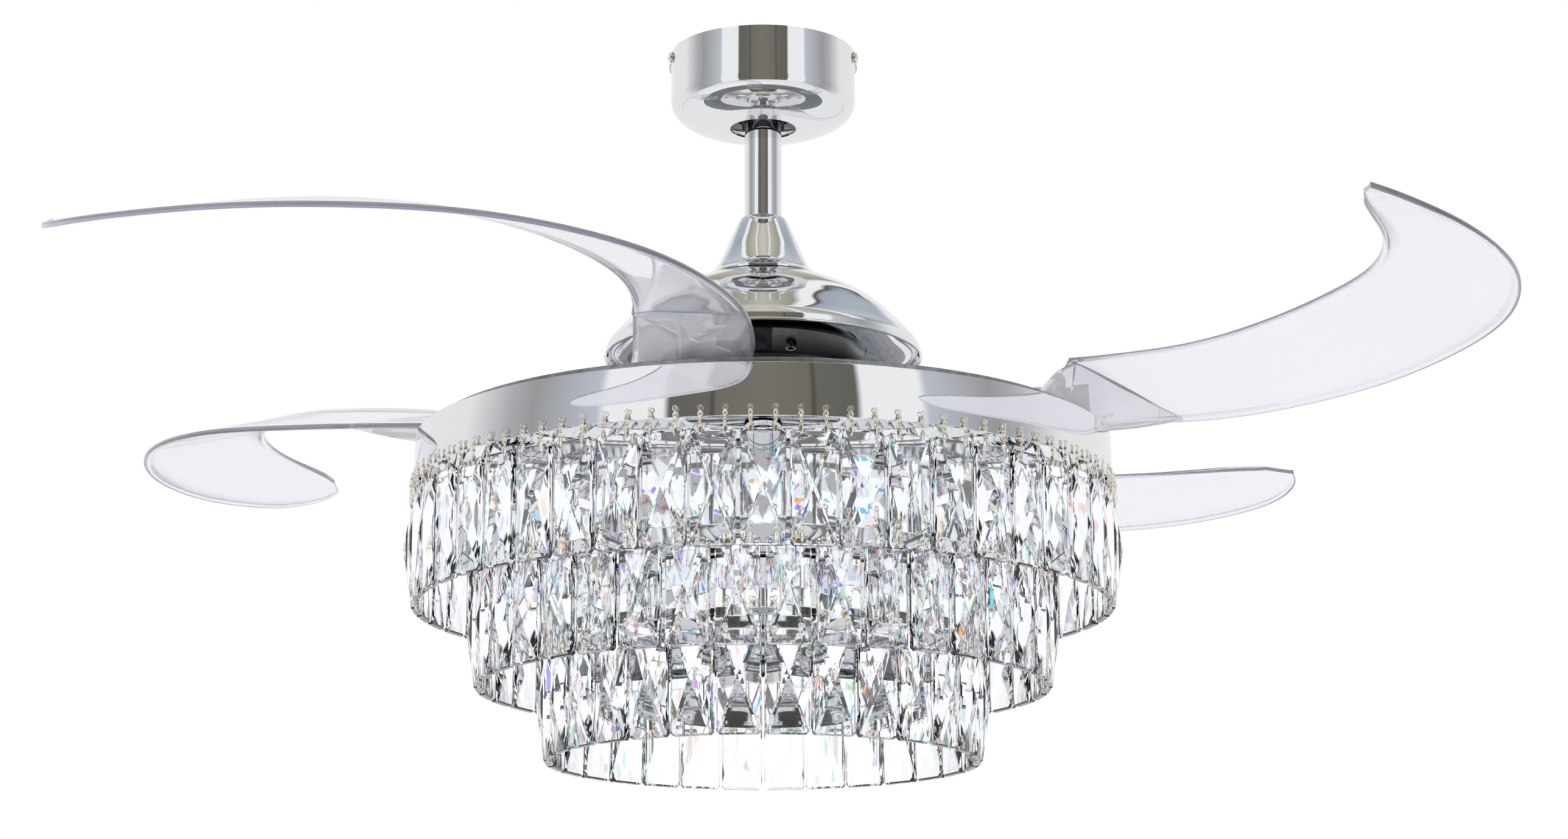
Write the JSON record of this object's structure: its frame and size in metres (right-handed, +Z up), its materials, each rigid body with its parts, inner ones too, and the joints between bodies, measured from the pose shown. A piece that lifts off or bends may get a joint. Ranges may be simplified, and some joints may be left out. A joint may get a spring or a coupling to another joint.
{
  "type": "ceiling fan",
  "caption": "Ceiling fan with clear curved blades that swing out from a motor under a chrome dome, above a round chrome band and stepped hoops of hanging cut glass bars around lamps.",
  "frame": {"origin": "centre of the ceiling bracket's top face, in the plane of the ceiling", "axes": "+Z up, out of the bracket into the ceiling; the fan turns about Z; the picture looks along +Y from -Y, with +X to its right"},
  "size_m": [0.9994, 0.9994, 0.539],
  "materials": {
    "chrome": "mirror polished chrome plate",
    "steel": "plain zinc plated steel",
    "black_paint": "black paint, half gloss",
    "brass_screw": "pale brass plate",
    "clear_plastic": "clear polished plastic",
    "crystal": "clear cut glass on chromed hoops",
    "nylon": "natural white nylon",
    "rubber_ball": "hard black rubber",
    "copper_winding": "enamelled copper wire",
    "black_holder": "black plastic",
    "bulb_glass": "clear glass"
  },
  "bodies": {
    "ceiling": {"ceiling_bracket": "steel", "canopy": "chrome", "terminal_block": "nylon", "canopy_screw_1": "brass_screw", "canopy_screw_2": "brass_screw", "canopy_screw_3": "brass_screw", "canopy_screw_4": "brass_screw"},
    "hanger": {"hanger_ball": "rubber_ball", "downrod": "chrome", "hanger_pin": "steel", "motor_coupling": "steel", "coupling_pin": "steel", "coupling_cover": "chrome", "upper_dome": "chrome", "dome_screw_1": "steel", "dome_screw_2": "steel", "motor_frame": "black_paint", "top_dish": "steel", "dish_screw_1": "chrome", "dish_screw_2": "chrome", "motor_shaft": "steel", "stator_core": "steel", "stator_winding": "copper_winding", "lamp_plate": "chrome", "crystal_tier_1": "crystal", "crystal_tier_2": "crystal", "crystal_tier_3": "crystal", "tier_strut_1": "chrome", "tier_strut_2": "chrome", "tier_strut_3": "chrome", "lamp_stem": "chrome", "shaft_nut": "steel", "lamp_holder_1": "black_holder", "lamp_holder_2": "black_holder", "lamp_holder_3": "black_holder", "lamp_holder_4": "black_holder", "bulb_1": "bulb_glass", "bulb_2": "bulb_glass", "bulb_3": "bulb_glass", "bulb_4": "bulb_glass"},
    "rotor": {"motor_case": "black_paint", "case_cover": "black_paint", "bearing_upper": "steel", "bearing_lower": "steel", "blade_tray": "steel", "gear_retainer": "steel", "return_spring_1": "steel", "return_spring_2": "steel", "return_spring_3": "steel", "return_spring_4": "steel"},
    "sync": {"sync_gear": "nylon"},
    "blade_arm_1": {"blade_1": "clear_plastic", "pivot_gear_1": "nylon"},
    "blade_arm_2": {"blade_2": "clear_plastic", "pivot_gear_2": "nylon"},
    "blade_arm_3": {"blade_3": "clear_plastic", "pivot_gear_3": "nylon"},
    "blade_arm_4": {"blade_4": "clear_plastic", "pivot_gear_4": "nylon"}
  },
  "joints": [
    {"name": "ball_tilt", "type": "hinge", "parent": "ceiling", "child": "hanger", "pos_m": [0, 0, -0.032], "axis": [0, 1, 0], "range_deg": [-12, 12]},
    {"name": "rotor_spin", "type": "hinge", "parent": "hanger", "child": "rotor", "pos_m": [0, 0, -0.28], "axis": [0, 0, 1], "continuous": true},
    {"name": "blade_swing_1", "type": "hinge", "parent": "rotor", "child": "blade_arm_1", "pos_m": [0.19865, -0.05063, -0.3], "axis": [0, 0, 1], "range_deg": [-114.3, 0], "stiffness_Nm_per_rad": 0.02, "springref_deg": -114.3},
    {"name": "blade_swing_2", "type": "hinge", "parent": "rotor", "child": "blade_arm_2", "pos_m": [0.05063, 0.19865, -0.3], "axis": [0, 0, 1], "range_deg": [-114.3, 0], "stiffness_Nm_per_rad": 0.02, "springref_deg": -114.3},
    {"name": "blade_swing_3", "type": "hinge", "parent": "rotor", "child": "blade_arm_3", "pos_m": [-0.19865, 0.05063, -0.3], "axis": [0, 0, 1], "range_deg": [-114.3, 0], "stiffness_Nm_per_rad": 0.02, "springref_deg": -114.3},
    {"name": "blade_swing_4", "type": "hinge", "parent": "rotor", "child": "blade_arm_4", "pos_m": [-0.05063, -0.19865, -0.3], "axis": [0, 0, 1], "range_deg": [-114.3, 0], "stiffness_Nm_per_rad": 0.02, "springref_deg": -114.3},
    {"name": "sync_turn", "type": "hinge", "parent": "rotor", "child": "sync", "pos_m": [0, 0, -0.316], "axis": [0, 0, 1], "range_deg": [0, 32.2]}
  ],
  "couplings": [
    {"joint": "blade_swing_2", "follows": "blade_swing_1", "ratio": 1},
    {"joint": "blade_swing_3", "follows": "blade_swing_1", "ratio": 1},
    {"joint": "blade_swing_4", "follows": "blade_swing_1", "ratio": 1},
    {"joint": "sync_turn", "follows": "blade_swing_1", "ratio": -0.28125}
  ]
}
